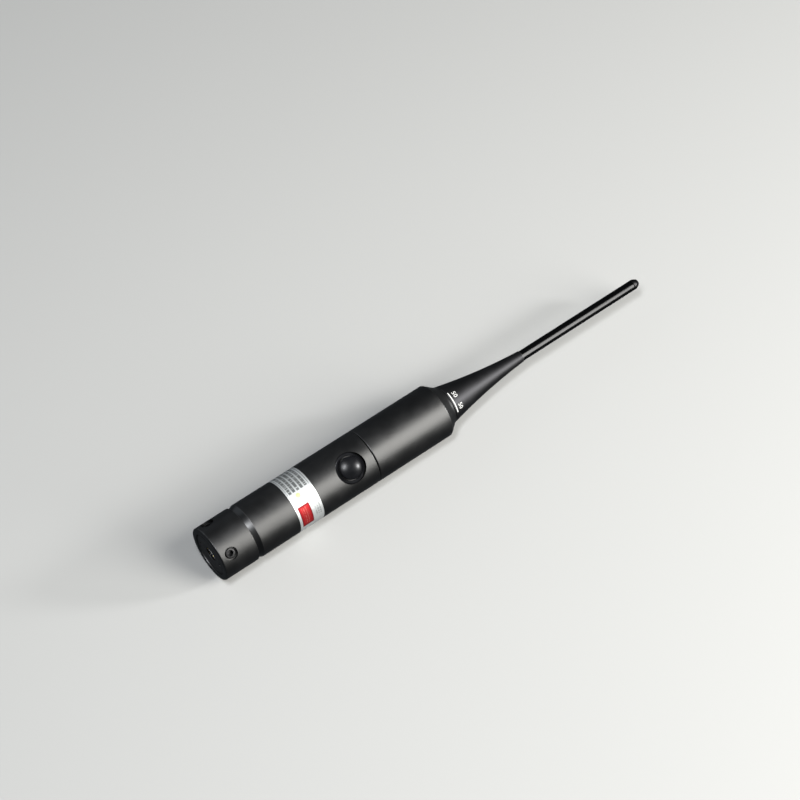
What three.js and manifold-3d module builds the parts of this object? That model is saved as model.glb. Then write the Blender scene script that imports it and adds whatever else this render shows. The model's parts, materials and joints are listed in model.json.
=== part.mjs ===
// Laser boresighter: a pocket laser collimator on a calibre mandrel. Millimetres, +Z up.
// The axis runs along +X at half the body's diameter above the ground; the laser end is at -X,
// the mandrel's tip at +X, and the origin is under the middle of the whole length.
// Stations are distances from the laser end; angles on the body go up from the -Y side.
import * as THREE from "three";
import { mergeVertices } from "three/addons/utils/BufferGeometryUtils.js";
import Module from "manifold-3d";

// ---- driving dimensions ----
const TOTAL_LENGTH = 206;
const BODY_RADIUS = 11;
const BORE_RADIUS = 7.8;
const SEAM = 70.1; // where the rear section unscrews
const SEAM_GAP = 0.3;
const SHOULDER = { start: 104.4, waist: 107.9, waistRadius: 8.2, end: 108.8, endRadius: 7.85 };
const CONE = { start: 109.1, end: 146.5, radii: [7.75, 4.3, 2.3] }; // big end, middle and small end
const ROD = { start: 118.3, end: 203.2, radius: 2.08 };
const STUD = { start: 104.6, radius: 3.05 }; // on the cone, held in the rear housing
const TIP_HOLE = { start: 194.0, radius: 1.3 }; // in the rod, for the arbor screw

const GROOVE = { start: 14.4, end: 16.8, floor: 10.05, flank: 0.15 }; // its floor rises towards the rear
const LABEL = { start: 33.3, end: 44.0, recess: 0.3, thickness: 0.2 };
const SCREW = { station: 4.4, firstAngle: 38.5, radius: 2.0, tip: 6.5, top: 10.1 };
const SOCKET = { across: 2.0, depth: 1.5 }; // the screws' hexagon sockets
const SCREW_SEAT = { radius: 2.6, floor: 9.7, holeFloor: 5 };
const BUTTON = { station: 60.2, angle: 54, radius: 4.4, top: 12.05, sphere: 7.5, base: 9.65 };
const STEM = { radius: 2.9, end: 6.3 };
const BUTTON_SEAT = { radius: 6.1, floor: 8.9 };
const BUTTON_RING = { inner: 4.6, outer: 5.9, low: 9.0, high: 9.5, edge: 0.3 };
const SPIGOT = { radius: 9.2, end: 76.1, clearance: 0.15 };
const CELL = { radius: 5.8, length: 5.4, first: 78.3, pitch: 5.5, count: 3 };
const MODULE = { radius: 6.0, bore: 4.7, front: 2.9, back: 27.0, pivot: 24.0 };
const CLEAR = 0.1; // running and assembly clearance
const BEYOND = BODY_RADIUS + 4; // how far a cutter reaches outside the tube

const BIG_SIDES = 36; // sides of the large turned pieces: one flat faces straight down
const SMALL_SIDES = 20;

// ---- shape helpers ----
const wasm = await Module();
wasm.setup();

// Turns [station, radius] points about the long axis; the radius is measured to the flats.
function turned(profile, sides = BIG_SIDES) {
  const halfSide = Math.PI / sides;
  const area = profile.reduce((sum, [s, r], i) => {
    const [nextS, nextR] = profile[(i + 1) % profile.length];
    return sum + s * nextR - nextS * r;
  }, 0);
  const points = profile.map(([s, r]) => new THREE.Vector2(r / Math.cos(halfSide), s));
  const onAxis = profile[0][1] === 0;
  if (!onAxis) points.push(points[0].clone());
  if (area > 0) points.reverse();
  const shape = new THREE.LatheGeometry(points, sides, halfSide);
  return shape.rotateZ(-Math.PI / 2).translate(-TOTAL_LENGTH / 2, 0, BODY_RADIUS);
}

// A full disc or rod between two stations.
function disc(start, end, radius, sides = BIG_SIDES) {
  return turned([[start, 0], [start, radius], [end, radius], [end, 0]], sides);
}

// A plain ring between two stations.
function ring(start, end, inner, outer, sides = BIG_SIDES) {
  return turned([[start, inner], [start, outer], [end, outer], [end, inner]], sides);
}

// Moves a shape built up +Z from the axis to a station and an angle on the body.
function onBody(shape, station, angle) {
  return shape
    .rotateX(THREE.MathUtils.degToRad(90 - angle))
    .translate(station - TOTAL_LENGTH / 2, 0, BODY_RADIUS);
}

// A post that stands on +Z: [height, radius] points from the axis and back to it.
function post(profile, sides = SMALL_SIDES) {
  const points = profile.map(([height, r]) => new THREE.Vector2(r, height));
  if (profile[0][1] !== 0) points.push(points[0].clone());
  return new THREE.LatheGeometry(points, sides).rotateX(Math.PI / 2);
}

function box(xSize, ySize, zLow, zHigh) {
  return new THREE.BoxGeometry(xSize, ySize, zHigh - zLow).translate(0, 0, (zLow + zHigh) / 2);
}

class Helix extends THREE.Curve {
  constructor(start, end, startRadius, endRadius, turns) {
    super();
    Object.assign(this, { start, end, startRadius, endRadius, turns });
  }
  getPoint(t, target = new THREE.Vector3()) {
    const angle = 2 * Math.PI * this.turns * t;
    const radius = THREE.MathUtils.lerp(this.startRadius, this.endRadius, t);
    const station = THREE.MathUtils.lerp(this.start, this.end, t);
    return target.set(
      station - TOTAL_LENGTH / 2,
      radius * Math.sin(angle),
      BODY_RADIUS + radius * Math.cos(angle),
    );
  }
}

// Sweeps a round wire along a curve.
function wire(curve, radius, steps, sides = 6) {
  const section = new THREE.Shape();
  for (let i = 0; i < sides; i++) {
    const angle = (2 * Math.PI * i) / sides;
    const [x, y] = [radius * Math.cos(angle), radius * Math.sin(angle)];
    if (i === 0) section.moveTo(x, y);
    else section.lineTo(x, y);
  }
  return new THREE.ExtrudeGeometry(section, { steps, bevelEnabled: false, extrudePath: curve });
}

function coilSpring(start, end, startRadius, endRadius, turns, wireRadius) {
  const stepsPerTurn = 10;
  return wire(new Helix(start, end, startRadius, endRadius, turns), wireRadius, turns * stepsPerTurn, 5);
}

function toSolid(geometry) {
  const bare = geometry.clone();
  bare.deleteAttribute("normal");
  bare.deleteAttribute("uv");
  const merged = mergeVertices(bare, 1e-3);
  return new wasm.Manifold(
    new wasm.Mesh({
      numProp: 3,
      vertProperties: merged.attributes.position.array,
      triVerts: new Uint32Array(merged.index.array),
    }),
  );
}

function toGeometry(solid) {
  const mesh = solid.getMesh();
  const geometry = new THREE.BufferGeometry();
  geometry.setAttribute("position", new THREE.BufferAttribute(new Float32Array(mesh.vertProperties), 3));
  geometry.setIndex(new THREE.BufferAttribute(new Uint32Array(mesh.triVerts), 1));
  geometry.computeVertexNormals();
  return geometry;
}

function cut(geometry, ...cutters) {
  return toGeometry(cutters.reduce((solid, cutter) => solid.subtract(toSolid(cutter)), toSolid(geometry)));
}

function join(geometry, ...others) {
  return toGeometry(others.reduce((solid, other) => solid.add(toSolid(other)), toSolid(geometry)));
}

// ---- materials ----
const finish = (color, roughness, metalness) =>
  new THREE.MeshStandardMaterial({ color, roughness, metalness });
const blackAnodised = finish(0x18181b, 0.42, 0.6);
const blackenedSteel = finish(0x202022, 0.35, 0.8);
const blackRubber = finish(0x101012, 0.6, 0);
const blackPlastic = finish(0x161618, 0.5, 0);
const clearGlass = new THREE.MeshStandardMaterial({
  color: 0xdfe8ea,
  roughness: 0.05,
  metalness: 0,
  transparent: true,
  opacity: 0.35,
});
const labelFoil = finish(0xd9dcdc, 0.35, 0.5);
const brass = finish(0xb8923f, 0.35, 1);
const nickel = finish(0xb9bbbd, 0.3, 1);
const springSteel = finish(0x8c8f92, 0.35, 1);
const greenBoard = finish(0x1f5a34, 0.5, 0);
const redWire = finish(0xb01818, 0.5, 0);
const blackWire = finish(0x141414, 0.5, 0);

// ---- front section ----
const SCREW_ANGLES = [0, 1, 2, 3].map((i) => SCREW.firstAngle + 90 * i);
const onButton = (shape) => onBody(shape, BUTTON.station, BUTTON.angle);

// A round hole sunk from outside the tube down to a floor, measured from the axis.
const drill = (floor, radius, sides = SMALL_SIDES) =>
  post([[floor, 0], [floor, radius], [BEYOND, radius], [BEYOND, 0]], sides);

function frontHousing() {
  const face = SEAM - SEAM_GAP / 2;
  const oRingGroove = { start: 70.6, end: 72.2, floor: 8.45 };
  const bezelSeat = { depth: 1.9, radius: 8.6 };
  const recess = BODY_RADIUS - LABEL.recess;
  const tube = turned([
    [bezelSeat.depth, BORE_RADIUS],
    [bezelSeat.depth, bezelSeat.radius],
    [0, bezelSeat.radius],
    [0, BODY_RADIUS - 0.4],
    [0.4, BODY_RADIUS],
    [GROOVE.start, BODY_RADIUS],
    [GROOVE.start + GROOVE.flank, GROOVE.floor],
    [GROOVE.end, BODY_RADIUS],
    [LABEL.start - CLEAR, BODY_RADIUS],
    [LABEL.start - CLEAR, recess],
    [LABEL.end + CLEAR, recess],
    [LABEL.end + CLEAR, BODY_RADIUS],
    [face - 0.25, BODY_RADIUS],
    [face, BODY_RADIUS - 0.25],
    [face, SPIGOT.radius],
    [oRingGroove.start, SPIGOT.radius],
    [oRingGroove.start, oRingGroove.floor],
    [oRingGroove.end, oRingGroove.floor],
    [oRingGroove.end, SPIGOT.radius],
    [SPIGOT.end - 0.5, SPIGOT.radius],
    [SPIGOT.end, SPIGOT.radius - 0.5],
    [SPIGOT.end, BORE_RADIUS],
  ]);
  const screwHoles = SCREW_ANGLES.flatMap((angle) =>
    [
      drill(SCREW_SEAT.holeFloor, SCREW.radius + CLEAR),
      drill(SCREW_SEAT.floor, SCREW_SEAT.radius),
    ].map((hole) => onBody(hole, SCREW.station, angle)),
  );
  const buttonHoles = [
    drill(BUTTON_SEAT.floor, BUTTON_SEAT.radius, BIG_SIDES),
    drill(STEM.end - 1, STEM.radius + 0.3),
  ].map(onButton);
  return cut(tube, ...screwHoles, ...buttonHoles);
}

function apertureBezel() {
  return turned([[0.4, 2.8], [0.4, 8.3], [0.6, 8.5], [1.8, 8.5], [1.8, 4.1], [0.8, 4.1], [0.8, 2.8]]);
}

function adjustScrew(angle) {
  const { tip, top, radius } = SCREW;
  const [taper, edge] = [0.8, 0.3];
  const body = post([
    [tip, 0],
    [tip, radius - taper],
    [tip + taper, radius],
    [top - edge, radius],
    [top, radius - edge],
    [top, 0],
  ]);
  const cornerRadius = SOCKET.across / Math.sqrt(3);
  const socket = new THREE.CylinderGeometry(cornerRadius, cornerRadius, 2 * SOCKET.depth, 6)
    .rotateX(Math.PI / 2)
    .translate(0, 0, top);
  return onBody(cut(body, socket), SCREW.station, angle);
}

function oRing(station, ringRadius, wireRadius) {
  return new THREE.TorusGeometry(ringRadius, wireRadius, 8, 32)
    .rotateY(Math.PI / 2)
    .translate(station - TOTAL_LENGTH / 2, 0, BODY_RADIUS);
}

// ---- laser module ----
function collimatingLens() {
  const [apex, rim, back, radius] = [5.3, 6.5, 8.2, 4.4];
  const bulge = [0, 1, 2, 3].map((i) => {
    const r = (radius * i) / 3;
    return [apex + (rim - apex) * (r / radius) ** 2, r];
  });
  return turned([...bulge, [back, radius], [back, 0]], SMALL_SIDES);
}

function laserDiode() {
  const [front, flange, back, pinEnd] = [12.6, 16.4, 17.6, 19.8];
  const [canRadius, flangeRadius, pinRadius, pinCircle] = [2.35, 2.8, 0.25, 1.3];
  const can = turned([
    [front, 0],
    [front, canRadius - 0.15],
    [front + 0.2, canRadius],
    [flange, canRadius],
    [flange, flangeRadius],
    [back, flangeRadius],
    [back, 0],
  ], SMALL_SIDES);
  const pins = [0, 1, 2].map((i) => {
    const angle = (2 * Math.PI * i) / 3;
    const pin = disc(back - 0.2, pinEnd, pinRadius, 6);
    return pin.translate(0, pinCircle * Math.sin(angle), pinCircle * Math.cos(angle));
  });
  return join(can, ...pins);
}

function driverBoard() {
  const [start, end] = [20.0, 31.0];
  const middle = (start + end) / 2 - TOTAL_LENGTH / 2;
  const board = new THREE.BoxGeometry(end - start, 8, 1).translate(middle, 0, BODY_RADIUS - 1);
  const chip = new THREE.BoxGeometry(3, 3, 1.2).translate(middle - 2, 0, BODY_RADIUS);
  const capacitor = new THREE.BoxGeometry(2, 1.4, 1.2).translate(middle + 2, 1.5, BODY_RADIUS);
  return join(board, chip, capacitor);
}

function leadWire(side) {
  const route = [[31.4, 2, 10.4], [36, 4, 11], [42, 5, 13], [48, 4, 12], [52.3, 2.5, 11.2]].map(
    ([station, y, z]) => new THREE.Vector3(station - TOTAL_LENGTH / 2, side * y, z),
  );
  return wire(new THREE.CatmullRomCurve3(route), 0.5, 14);
}

// ---- switch and button ----
function buttonCap() {
  const { radius, top, sphere, base } = BUTTON;
  const steps = 6;
  const rimAngle = Math.asin(radius / sphere);
  const dome = Array.from({ length: steps + 1 }, (_, i) => {
    const angle = rimAngle * (1 - i / steps);
    return [top - sphere * (1 - Math.cos(angle)), sphere * Math.sin(angle)];
  });
  return post([[STEM.end, 0], [STEM.end, STEM.radius], [base, STEM.radius], [base, radius], ...dome], 24);
}

function buttonRing() {
  const { inner, outer, low, high, edge } = BUTTON_RING;
  return post(
    [[low, inner], [low, outer], [high - edge, outer], [high, outer - edge], [high, inner]],
    BIG_SIDES,
  );
}

function tactSwitch() {
  return cut(box(6, 6, 1.6, 5.0), post([[3.6, 0], [3.6, 1.9], [8, 1.9], [8, 0]]));
}

// ---- rear section ----
function rearHousing() {
  const face = SEAM + SEAM_GAP / 2;
  const edge = 0.25;
  const cavity = { radius: 6.85, start: 76.6, end: 103.2 };
  return turned([
    [STUD.start - 0.3, 0],
    [STUD.start - 0.3, STUD.radius + 0.15],
    [SHOULDER.end, STUD.radius + 0.15],
    [SHOULDER.end, SHOULDER.endRadius],
    [SHOULDER.waist, SHOULDER.waistRadius],
    [SHOULDER.start, BODY_RADIUS],
    [face + edge, BODY_RADIUS],
    [face, BODY_RADIUS - edge],
    [face, SPIGOT.radius + SPIGOT.clearance],
    [cavity.start, SPIGOT.radius + SPIGOT.clearance],
    [cavity.start, cavity.radius],
    [cavity.end, cavity.radius],
    [cavity.end, 0],
  ]);
}

// The cone's radius: one gentle inward curve through its two ends and its middle.
function coneRadius(t) {
  const [bigEnd, middle, smallEnd] = CONE.radii;
  const bend = 2 * (bigEnd + smallEnd - 2 * middle);
  return bigEnd + (smallEnd - bigEnd - bend) * t + bend * t * t;
}

function calibreCone() {
  const steps = 8;
  const side = Array.from({ length: steps + 1 }, (_, i) => {
    const t = i / steps;
    return [CONE.start + (CONE.end - CONE.start) * t, coneRadius(t)];
  });
  const rodHole = { floor: ROD.start - 0.3, radius: ROD.radius + 0.06 };
  return turned([
    [STUD.start, 0],
    [STUD.start, STUD.radius],
    [CONE.start, STUD.radius],
    ...side,
    [CONE.end, rodHole.radius],
    [rodHole.floor, rodHole.radius],
    [rodHole.floor, 0],
  ], 32);
}

function mandrelRod() {
  return turned([
    [ROD.start, 0],
    [ROD.start, ROD.radius],
    [ROD.end, ROD.radius],
    [ROD.end, TIP_HOLE.radius],
    [TIP_HOLE.start, TIP_HOLE.radius],
    [TIP_HOLE.start, 0],
  ], SMALL_SIDES);
}

function arborScrew() {
  const head = { start: ROD.end + 0.2, side: 1.0, tipRadius: 1.3 };
  const shank = { start: TIP_HOLE.start + 1, radius: TIP_HOLE.radius - 0.15 };
  const body = turned([
    [shank.start, 0],
    [shank.start, shank.radius],
    [head.start, shank.radius],
    [head.start, ROD.radius],
    [head.start + head.side, ROD.radius],
    [TOTAL_LENGTH, head.tipRadius],
    [TOTAL_LENGTH, 0],
  ], SMALL_SIDES);
  const slot = new THREE.BoxGeometry(1.6, 6, 0.6).translate(TOTAL_LENGTH / 2, 0, BODY_RADIUS);
  return cut(body, slot);
}

// ---- the assembly ----
const root = new THREE.Group();

function add(name, geometry, material) {
  const mesh = new THREE.Mesh(geometry, material);
  mesh.name = name;
  root.add(mesh);
}

add("front_housing", frontHousing(), blackAnodised);
add("aperture_bezel", apertureBezel(), blackPlastic);
add("aperture_window", disc(0.9, 1.7, 4.0), clearGlass);
const labelInner = BODY_RADIUS - LABEL.recess + 0.05;
add("label_band", ring(LABEL.start, LABEL.end, labelInner, labelInner + LABEL.thickness), labelFoil);
SCREW_ANGLES.forEach((angle, i) => add("adjust_screw_" + (i + 1), adjustScrew(angle), blackenedSteel));

add("pivot_o_ring", oRing(MODULE.pivot, 6.9, 0.78), blackRubber);
add("module_barrel", ring(MODULE.front, MODULE.back, MODULE.bore, MODULE.radius), brass);
add("lens_retainer", ring(3.1, 5.0, 2.2, MODULE.bore - CLEAR, SMALL_SIDES), blackPlastic);
add("collimating_lens", collimatingLens(), clearGlass);
add("lens_spring", coilSpring(8.8, 13.1, 3.9, 3.9, 4, 0.25), springSteel);
add("laser_diode", laserDiode(), nickel);
add(
  "diode_holder",
  turned([[13.6, 2.5], [13.6, 4.6], [18.4, 4.6], [18.4, 2.95], [16.2, 2.95], [16.2, 2.5]], SMALL_SIDES),
  brass,
);
add("driver_board", driverBoard(), greenBoard);
add("lead_wire_red", leadWire(1), redWire);
add("lead_wire_black", leadWire(-1), blackWire);

add("button_ring", onButton(buttonRing()), blackRubber);
add("button_cap", onButton(buttonCap()), blackRubber);
add("switch_plunger", onButton(post([[4.6, 0], [4.6, 1.75], [6.2, 1.75], [6.2, 0]], 16)), blackPlastic);
add("tact_switch", onButton(tactSwitch()), blackPlastic);
add("switch_board", onButton(box(15.5, 10, 0.3, 1.5)), greenBoard);
add("contact_board", disc(72.6, 73.8, 7.6), greenBoard);
add("contact_retainer", ring(74.0, 75.3, 6.2, 7.7), brass);
add("contact_spring", coilSpring(74.3, 77.8, 3.0, 1.6, 3, 0.3), springSteel);
add("seam_o_ring", oRing(71.4, 8.9, 0.36), blackRubber);

add("rear_housing", rearHousing(), blackAnodised);
add("battery_sleeve", ring(77.7, 95.9, CELL.radius + 0.15, CELL.radius + 0.85), blackPlastic);
for (let i = 0; i < CELL.count; i++) {
  const start = CELL.first + i * CELL.pitch;
  const [rim, end] = [start + 0.9, start + CELL.length];
  add(
    "battery_cell_" + (i + 1),
    turned([[start, 0], [start, 4.6], [rim, 4.8], [rim, CELL.radius], [end, CELL.radius], [end, 0]], 24),
    nickel,
  );
}
add("battery_spring", coilSpring(95.2, 102.6, 2.6, 5.4, 5, 0.35), springSteel);
add("calibre_cone", calibreCone(), blackAnodised);
add("mandrel_rod", mandrelRod(), blackenedSteel);
add("arbor_screw", arborScrew(), blackenedSteel);

export default root;
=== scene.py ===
"""Laser boresighter: fine meshes, finishes and stage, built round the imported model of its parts."""

import json
import math
from types import SimpleNamespace

import bmesh
import bpy
from bpy.props import FloatProperty, FloatVectorProperty, IntProperty, PointerProperty
from mathutils import Matrix, Vector


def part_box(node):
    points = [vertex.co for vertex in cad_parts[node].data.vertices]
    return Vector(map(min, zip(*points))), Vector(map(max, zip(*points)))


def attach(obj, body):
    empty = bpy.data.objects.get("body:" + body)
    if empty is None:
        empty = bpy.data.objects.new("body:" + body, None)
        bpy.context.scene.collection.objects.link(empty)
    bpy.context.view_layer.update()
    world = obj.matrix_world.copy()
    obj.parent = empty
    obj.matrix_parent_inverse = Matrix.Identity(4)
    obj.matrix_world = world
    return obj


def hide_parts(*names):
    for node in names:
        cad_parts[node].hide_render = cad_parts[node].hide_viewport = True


bl_info = {
    "name": "Laser Boresighter",
    "version": (1, 0, 0),
    "blender": (4, 5, 0),
    "location": "3D Viewport > Sidebar > Boresighter",
    "description": "Builds a pocket laser boresighter piece by piece",
    "category": "Add Mesh",
}

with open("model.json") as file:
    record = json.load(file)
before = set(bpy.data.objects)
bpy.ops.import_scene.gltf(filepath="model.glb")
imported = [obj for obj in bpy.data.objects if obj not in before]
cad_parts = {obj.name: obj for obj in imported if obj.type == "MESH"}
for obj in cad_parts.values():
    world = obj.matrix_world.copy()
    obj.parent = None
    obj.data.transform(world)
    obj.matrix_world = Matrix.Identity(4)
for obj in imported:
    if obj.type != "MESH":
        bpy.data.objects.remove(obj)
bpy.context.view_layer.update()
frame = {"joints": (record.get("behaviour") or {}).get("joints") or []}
JOINTS = {joint["name"]: joint for joint in frame["joints"]}

MM = 0.001
FULL_TURN = 2 * math.pi
WELD = 1e-4  # millimetres: points nearer than this are one point
LONG_AXIS = Vector((1, 0, 0))

# ---- places taken from the frame, in millimetres ----
_low, _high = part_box("rear_housing")
BODY_RADIUS = (_high.z - _low.z) / 2 / MM
AXIS_HEIGHT = (_high.z + _low.z) / 2 / MM
LASER_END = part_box("front_housing")[0].x / MM


def span(node):
    """First and last station of a node, in millimetres from the laser end."""
    low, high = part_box(node)
    return low.x / MM - LASER_END, high.x / MM - LASER_END


def half_height(node):
    """Half of a node's height, which is the radius of a turned piece."""
    low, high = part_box(node)
    return (high.z - low.z) / 2 / MM


SPIGOT_END = span("front_housing")[1]
REAR_FACE, REAR_END = span("rear_housing")
CONE_TIP = span("calibre_cone")[1]
TIP_END = span("arbor_screw")[1]
LABEL_START, LABEL_END = span("label_band")
BUTTON_STATION = sum(span("button_ring")) / 2
BUTTON_OUT = -Vector(JOINTS["button_press"]["axis"])
SCREW_STATION = JOINTS["adjust_screw_1_turn"]["pos_m"][0] / MM - LASER_END
SCREW_OUT = [Vector(JOINTS[f"adjust_screw_{n}_turn"]["axis"]) for n in (1, 2, 3, 4)]


# ---- settings ----
def length(name, description, millimetres):
    return FloatProperty(
        name=name,
        description=description,
        default=millimetres * MM,
        min=0,
        subtype="DISTANCE",
        unit="LENGTH",
        precision=5,
    )


def colour(name, description, rgb):
    return FloatVectorProperty(
        name=name, description=description, default=rgb, size=3, min=0, max=1, subtype="COLOR"
    )


class TubeSettings(bpy.types.PropertyGroup):
    groove_start: length("Groove start", "Distance from the laser end to the groove", 14.4)
    groove_width: length("Groove width", "Width of the groove at the tube's surface", 2.4)
    groove_depth: length("Groove depth", "Depth of the groove", 0.95)
    edge_break: length("Edge break", "Size of the small bevel on turned edges", 0.12)
    wall: length("Wall", "Wall thickness of the front tube", 3.2)
    thread_pitch: length("Thread pitch", "Advance per turn; the ridges are half as far apart", 1.5)
    shoulder_start: length("Shoulder start", "Station where the rear tube begins to narrow", 104.4)
    waist_station: length("Waist", "Station where the shoulder's steep part ends", 107.9)
    waist_radius: length("Waist radius", "Radius where the shoulder's steep part ends", 8.2)
    end_radius: length("End radius", "Radius of the rear tube's end against the cone", 7.85)
    around: IntProperty(
        name="Sides", description="Steps of a full turn on the large pieces", default=144, min=24
    )


class ButtonSettings(bpy.types.PropertyGroup):
    seat_radius: length("Seat", "Radius of the round seat milled for the button", 6.1)
    seat_floor: length("Seat floor", "Distance of the seat's floor from the tube's axis", 8.9)
    radius: length("Button", "Radius of the rubber button", 4.4)
    top: length("Top", "Distance of the button's top from the tube's axis", 12.05)
    dome: length("Dome", "Radius of the sphere that the button's top is part of", 7.5)
    collar_inner: length("Collar bore", "Inner radius of the ring round the button", 4.6)
    collar_outer: length("Collar", "Outer radius of the ring round the button", 5.9)


class ConeSettings(bpy.types.PropertyGroup):
    big_radius: length("Big end", "Radius of the cone at the tube", 7.75)
    middle_radius: length("Middle", "Radius of the cone half way", 4.3)
    small_radius: length("Small end", "Radius of the cone at the mandrel", 2.3)
    mark_station: length("Mark", "Station of the printed ring mark", 109.95)
    numeral_height: length("Numerals", "Height of the printed calibre numerals", 1.9)


class FinishSettings(bpy.types.PropertyGroup):
    anodised: colour("Anodised", "Colour of the anodised tubes", (0.058, 0.058, 0.058))
    cone: colour("Cone", "Colour of the cone", (0.036, 0.036, 0.038))
    rubber: colour("Rubber", "Colour of the button and its ring", (0.006, 0.006, 0.007))
    oxide: colour("Black oxide", "Colour of the screws and the mandrel", (0.036, 0.036, 0.037))
    foil: colour("Foil", "Ground colour of the label", (0.66, 0.68, 0.68))
    panel: colour("Panel", "Colour of the label's warm panel", (0.36, 0.010, 0.014))
    dot: colour("Dot", "Colour of the label's small dot", (0.36, 0.44, 0.10))
    ink: colour("Ink", "Colour of the printed calibre mark", (0.72, 0.72, 0.70))


def settings(group):
    """A settings group with its lengths in millimetres."""
    source = getattr(bpy.context.scene, "boresighter_" + group)
    values = {}
    for name in source.__annotations__:
        value = getattr(source, name)
        values[name] = value / MM if isinstance(value, float) else value
    return SimpleNamespace(**values)


# ---- mesh tools, all in millimetres until a piece is finished ----
def turned(outline, around=96, longest=None):
    """Spins a closed outline of (station, radius, rounding) about the X axis."""
    bm = bmesh.new()
    corners = []
    for station, radius, *rounding in outline:
        corners.append((bm.verts.new((station, radius, 0)), rounding[0] if rounding else 0))
    bm.faces.new([vert for vert, _ in corners])
    for rounding in sorted({size for _, size in corners if size}):
        verts = [vert for vert, size in corners if size == rounding]
        bmesh.ops.bevel(
            bm,
            geom=verts,
            offset=rounding,
            offset_type="OFFSET",
            segments=3,
            profile=0.5,
            affect="VERTICES",
            material=-1,
            clamp_overlap=True,
        )
    bmesh.ops.delete(bm, geom=bm.faces[:], context="FACES_ONLY")
    on_axis = [edge for edge in bm.edges if all(abs(vert.co.y) < WELD for vert in edge.verts)]
    bmesh.ops.delete(bm, geom=on_axis, context="EDGES")
    if longest:
        for edge in [edge for edge in bm.edges if edge.calc_length() > longest]:
            bmesh.ops.subdivide_edges(bm, edges=[edge], cuts=int(edge.calc_length() / longest))
    bmesh.ops.spin(
        bm, geom=bm.verts[:] + bm.edges[:], axis=LONG_AXIS, angle=FULL_TURN, steps=around, use_merge=True
    )
    bmesh.ops.remove_doubles(bm, verts=bm.verts, dist=WELD)
    bmesh.ops.recalc_face_normals(bm, faces=bm.faces)
    return bm


def disc(start, end, radius, rounding=0):
    """The outline of a disc."""
    return [(start, 0), (start, radius, rounding), (end, radius, rounding), (end, 0)]


def coil(start, end, start_radius, end_radius, turns, wire_radius, steps_per_turn=36):
    """A coil spring about the X axis; its ends are flat caps."""
    bm = bmesh.new()
    circle = bmesh.ops.create_circle(bm, segments=10, radius=wire_radius, cap_ends=True)
    bmesh.ops.transform(bm, matrix=Matrix.Translation((start, 1.0, 0)), verts=circle["verts"])
    steps = round(turns * steps_per_turn)
    pitch_step = Vector(((end - start) / steps, 0, 0))
    bmesh.ops.spin(
        bm, geom=bm.faces[:], axis=LONG_AXIS, angle=FULL_TURN * turns, steps=steps, dvec=pitch_step
    )
    for vert in bm.verts:
        along = min(max((vert.co.x - start) / (end - start), 0), 1)
        grow = start_radius + (end_radius - start_radius) * along - 1.0
        outwards = Vector((0, vert.co.y, vert.co.z)).normalized()
        vert.co += outwards * grow
    bmesh.ops.recalc_face_normals(bm, faces=bm.faces)
    return bm


def block(size, centre, edge=0.0):
    """A box with softened edges."""
    bm = bmesh.new()
    cube = bmesh.ops.create_cube(bm, size=1)
    bmesh.ops.scale(bm, vec=size, verts=cube["verts"])
    if edge:
        bmesh.ops.bevel(
            bm, geom=bm.edges[:], offset=edge, segments=2, profile=0.5, affect="EDGES", material=-1
        )
    bmesh.ops.translate(bm, vec=centre, verts=bm.verts)
    return bm


def prism(sides, radius, low, high):
    """A straight prism along X."""
    bm = bmesh.new()
    bmesh.ops.create_cone(
        bm, cap_ends=True, segments=sides, radius1=radius, radius2=radius, depth=high - low
    )
    bmesh.ops.rotate(bm, cent=(0, 0, 0), matrix=Matrix.Rotation(math.pi / 2, 3, "Y"), verts=bm.verts)
    bmesh.ops.translate(bm, vec=((low + high) / 2, 0, 0), verts=bm.verts)
    return bm


def aim(bm, station, outwards):
    """Turns a shape built along X to point outwards from the tube's axis at a station."""
    turn = LONG_AXIS.rotation_difference(outwards).to_matrix()
    bmesh.ops.rotate(bm, cent=(0, 0, 0), matrix=turn, verts=bm.verts)
    bmesh.ops.translate(bm, vec=(station, 0, 0), verts=bm.verts)
    return bm


def lay(bm, station, outwards):
    """Turns a shape whose top is +Z to face outwards; its length stays along the tube."""
    turn = Matrix((LONG_AXIS, outwards.cross(LONG_AXIS), outwards)).transposed()
    bmesh.ops.rotate(bm, cent=(0, 0, 0), matrix=turn, verts=bm.verts)
    bmesh.ops.translate(bm, vec=(station, 0, 0), verts=bm.verts)
    return bm


def merged(first, *others):
    """Several shapes in one bmesh."""
    for other in others:
        scratch = bpy.data.meshes.new("scratch")
        other.to_mesh(scratch)
        other.free()
        first.from_mesh(scratch)
        bpy.data.meshes.remove(scratch)
    return first


def drawn_shape(curve):
    """The shape of a curve or of text."""
    drawn = bpy.data.objects.new(curve.name, curve)
    bpy.context.scene.collection.objects.link(drawn)
    mesh = bpy.data.meshes.new_from_object(drawn.evaluated_get(bpy.context.evaluated_depsgraph_get()))
    bpy.data.objects.remove(drawn)
    bm = bmesh.new()
    bm.from_mesh(mesh)
    bpy.data.meshes.remove(mesh)
    bmesh.ops.remove_doubles(bm, verts=bm.verts, dist=WELD)
    return bm


def mesh_object(name, bm):
    """Writes a bmesh that is in millimetres from the laser end to a mesh in metres at its place."""
    bmesh.ops.translate(bm, vec=(LASER_END, 0, AXIS_HEIGHT), verts=bm.verts)
    bmesh.ops.scale(bm, vec=(MM, MM, MM), verts=bm.verts)
    mesh = bpy.data.meshes.new(name)
    bm.to_mesh(mesh)
    bm.free()
    obj = bpy.data.objects.new(name, mesh)
    bpy.context.scene.collection.objects.link(obj)
    return obj


def apply_modifiers(obj):
    evaluated = obj.evaluated_get(bpy.context.evaluated_depsgraph_get())
    finished = bpy.data.meshes.new_from_object(evaluated)
    obj.modifiers.clear()
    spare, obj.data = obj.data, finished
    finished.name = obj.name
    bpy.data.meshes.remove(spare)


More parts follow.
